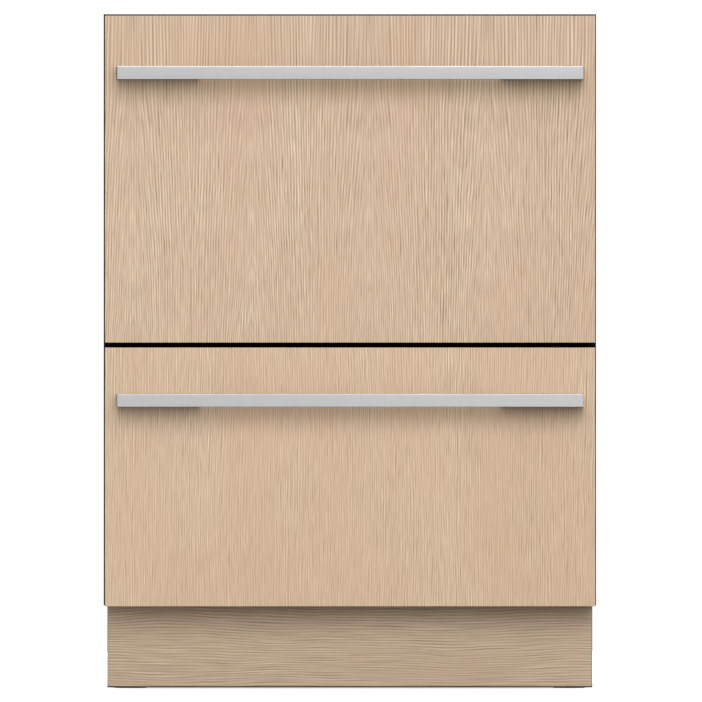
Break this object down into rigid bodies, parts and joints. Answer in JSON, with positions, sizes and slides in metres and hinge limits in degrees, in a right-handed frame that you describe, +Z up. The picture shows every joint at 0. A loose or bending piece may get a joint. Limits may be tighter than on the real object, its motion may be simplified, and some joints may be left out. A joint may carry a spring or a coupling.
{
  "type": "double dishwasher drawer",
  "caption": "Built-in dishwasher with two pull-out wash drawers, one over the other, behind oak veneer fronts with steel bar handles and a recessed oak toe kick.",
  "frame": {"origin": "on the floor, under the middle of the whole part's box, handles included", "axes": "+Z up, +X to the right as seen from the front, and the drawers open towards -Y"},
  "size_m": [0.599, 0.614, 0.82],
  "materials": {
    "oak_front": "fine vertical oak veneer, matt lacquer",
    "oak_kick": "fine horizontal oak veneer, matt lacquer",
    "handle_steel": "brushed along the bar",
    "galvanised": "zinc-coated sheet",
    "rail_steel": "zinc-plated, smooth",
    "screw_steel": "zinc-plated",
    "black_trim": "matt",
    "casing_plastic": "fine moulded grain",
    "control_black": "gloss",
    "button_metal": "satin",
    "tub_plastic": "fine moulded grain",
    "lid_plastic": "satin",
    "seal_rubber": "matt",
    "rack_wire": "nylon-coated steel wire",
    "rack_plastic": "satin",
    "spray_plastic": "satin",
    "filter_mesh": "perforated steel",
    "dispenser_plastic": "satin",
    "dispenser_white": "gloss",
    "motor_alloy": "cast",
    "valve_plastic": "moulded",
    "connector_plastic": "moulded",
    "foot_plastic": "moulded on a steel stem",
    "lifter_plastic": "moulded"
  },
  "bodies": {
    "cabinet": {"side_panel_left": "galvanised", "side_panel_right": "galvanised", "top_panel": "galvanised", "back_panel": "galvanised", "base_tray": "galvanised", "centre_shelf": "galvanised", "front_trim": "black_trim", "cabinet_screws": "screw_steel", "toe_kick": "oak_kick", "inlet_valve": "valve_plastic", "drain_connector": "connector_plastic", "mains_box": "connector_plastic", "outer_rails": "rail_steel", "lid_lifters": "lifter_plastic"},
    "foot_front_left": {"foot_front_left": "foot_plastic"},
    "foot_front_right": {"foot_front_right": "foot_plastic"},
    "foot_rear_left": {"foot_rear_left": "foot_plastic"},
    "foot_rear_right": {"foot_rear_right": "foot_plastic"},
    "upper_middle_rails": {"upper_middle_rails": "rail_steel"},
    "upper_lid": {"upper_lid": "lid_plastic", "upper_lid_seal": "seal_rubber"},
    "upper_drawer": {"upper_front_panel": "oak_front", "upper_handle": "handle_steel", "upper_front_casing": "casing_plastic", "upper_control_strip": "control_black", "upper_tub": "tub_plastic", "upper_inner_rails": "rail_steel", "upper_filter_plate": "filter_mesh", "upper_wash_motor": "motor_alloy", "upper_basket": "rack_wire", "upper_dispenser": "dispenser_plastic", "upper_cutlery_basket": "rack_plastic"},
    "upper_power_button": {"upper_power_button": "button_metal"},
    "upper_programme_button": {"upper_programme_button": "button_metal"},
    "upper_start_button": {"upper_start_button": "button_metal"},
    "upper_spray_arm": {"upper_spray_arm": "spray_plastic"},
    "upper_folding_tines": {"upper_folding_tines": "rack_wire"},
    "upper_dispenser_door": {"upper_dispenser_door": "dispenser_white"},
    "upper_rinse_cap": {"upper_rinse_cap": "rack_plastic"},
    "upper_cup_rack": {"upper_cup_rack": "rack_plastic"},
    "lower_middle_rails": {"lower_middle_rails": "rail_steel"},
    "lower_lid": {"lower_lid": "lid_plastic", "lower_lid_seal": "seal_rubber"},
    "lower_drawer": {"lower_front_panel": "oak_front", "lower_handle": "handle_steel", "lower_front_casing": "casing_plastic", "lower_control_strip": "control_black", "lower_tub": "tub_plastic", "lower_inner_rails": "rail_steel", "lower_filter_plate": "filter_mesh", "lower_wash_motor": "motor_alloy", "lower_basket": "rack_wire", "lower_dispenser": "dispenser_plastic"},
    "lower_power_button": {"lower_power_button": "button_metal"},
    "lower_programme_button": {"lower_programme_button": "button_metal"},
    "lower_start_button": {"lower_start_button": "button_metal"},
    "lower_spray_arm": {"lower_spray_arm": "spray_plastic"},
    "lower_folding_tines": {"lower_folding_tines": "rack_wire"},
    "lower_dispenser_door": {"lower_dispenser_door": "dispenser_white"},
    "lower_rinse_cap": {"lower_rinse_cap": "rack_plastic"}
  },
  "joints": [
    {"name": "foot_front_left_screw_out", "type": "slide", "parent": "cabinet", "child": "foot_front_left", "axis": [0, 0, 1], "range_m": [-0.06, 0]},
    {"name": "foot_front_right_screw_out", "type": "slide", "parent": "cabinet", "child": "foot_front_right", "axis": [0, 0, 1], "range_m": [-0.06, 0]},
    {"name": "foot_rear_left_screw_out", "type": "slide", "parent": "cabinet", "child": "foot_rear_left", "axis": [0, 0, 1], "range_m": [-0.06, 0]},
    {"name": "foot_rear_right_screw_out", "type": "slide", "parent": "cabinet", "child": "foot_rear_right", "axis": [0, 0, 1], "range_m": [-0.06, 0]},
    {"name": "upper_drawer_slide", "type": "slide", "parent": "cabinet", "child": "upper_drawer", "axis": [0, -1, 0], "range_m": [0, 0.47]},
    {"name": "upper_rails_slide", "type": "slide", "parent": "cabinet", "child": "upper_middle_rails", "axis": [0, -1, 0], "range_m": [0, 0.235]},
    {"name": "upper_lid_drop", "type": "slide", "parent": "cabinet", "child": "upper_lid", "axis": [0, 0, 1], "range_m": [-0.0097, 0]},
    {"name": "upper_power_press", "type": "slide", "parent": "upper_drawer", "child": "upper_power_button", "axis": [0, 0, 1], "range_m": [-0.0012, 0], "stiffness_N_per_m": 700, "springref_m": 0.0008},
    {"name": "upper_programme_press", "type": "slide", "parent": "upper_drawer", "child": "upper_programme_button", "axis": [0, 0, 1], "range_m": [-0.0012, 0], "stiffness_N_per_m": 700, "springref_m": 0.0008},
    {"name": "upper_start_press", "type": "slide", "parent": "upper_drawer", "child": "upper_start_button", "axis": [0, 0, 1], "range_m": [-0.0012, 0], "stiffness_N_per_m": 700, "springref_m": 0.0008},
    {"name": "upper_spray_arm_spin", "type": "hinge", "parent": "upper_drawer", "child": "upper_spray_arm", "pos_m": [0, 0.0339, 0.4825], "axis": [0, 0, 1], "continuous": true},
    {"name": "upper_tines_fold", "type": "hinge", "parent": "upper_drawer", "child": "upper_folding_tines", "pos_m": [0, -0.01432, 0.5313], "axis": [-1, 0, 0], "range_deg": [0, 88]},
    {"name": "upper_cup_rack_fold", "type": "hinge", "parent": "upper_drawer", "child": "upper_cup_rack", "pos_m": [-0.254, 0.0339, 0.61525], "axis": [0, -1, 0], "range_deg": [0, 88]},
    {"name": "upper_dispenser_door_slide", "type": "slide", "parent": "upper_drawer", "child": "upper_dispenser_door", "axis": [1, 0, 0], "range_m": [0, 0.06]},
    {"name": "upper_rinse_cap_turn", "type": "hinge", "parent": "upper_drawer", "child": "upper_rinse_cap", "pos_m": [-0.066, -0.199, 0.7338], "axis": [0, 1, 0], "range_deg": [0, 90]},
    {"name": "lower_drawer_slide", "type": "slide", "parent": "cabinet", "child": "lower_drawer", "axis": [0, -1, 0], "range_m": [0, 0.47]},
    {"name": "lower_rails_slide", "type": "slide", "parent": "cabinet", "child": "lower_middle_rails", "axis": [0, -1, 0], "range_m": [0, 0.235]},
    {"name": "lower_lid_drop", "type": "slide", "parent": "cabinet", "child": "lower_lid", "axis": [0, 0, 1], "range_m": [-0.0097, 0]},
    {"name": "lower_power_press", "type": "slide", "parent": "lower_drawer", "child": "lower_power_button", "axis": [0, 0, 1], "range_m": [-0.0012, 0], "stiffness_N_per_m": 700, "springref_m": 0.0008},
    {"name": "lower_programme_press", "type": "slide", "parent": "lower_drawer", "child": "lower_programme_button", "axis": [0, 0, 1], "range_m": [-0.0012, 0], "stiffness_N_per_m": 700, "springref_m": 0.0008},
    {"name": "lower_start_press", "type": "slide", "parent": "lower_drawer", "child": "lower_start_button", "axis": [0, 0, 1], "range_m": [-0.0012, 0], "stiffness_N_per_m": 700, "springref_m": 0.0008},
    {"name": "lower_spray_arm_spin", "type": "hinge", "parent": "lower_drawer", "child": "lower_spray_arm", "pos_m": [0, 0.0339, 0.162], "axis": [0, 0, 1], "continuous": true},
    {"name": "lower_tines_fold", "type": "hinge", "parent": "lower_drawer", "child": "lower_folding_tines", "pos_m": [0, -0.01432, 0.2108], "axis": [-1, 0, 0], "range_deg": [0, 88]},
    {"name": "lower_dispenser_door_slide", "type": "slide", "parent": "lower_drawer", "child": "lower_dispenser_door", "axis": [1, 0, 0], "range_m": [0, 0.06]},
    {"name": "lower_rinse_cap_turn", "type": "hinge", "parent": "lower_drawer", "child": "lower_rinse_cap", "pos_m": [-0.066, -0.199, 0.3363], "axis": [0, 1, 0], "range_deg": [0, 90]}
  ],
  "couplings": [
    {"joint": "upper_rails_slide", "follows": "upper_drawer_slide", "ratio": 0.5},
    {"joint": "lower_rails_slide", "follows": "lower_drawer_slide", "ratio": 0.5}
  ]
}
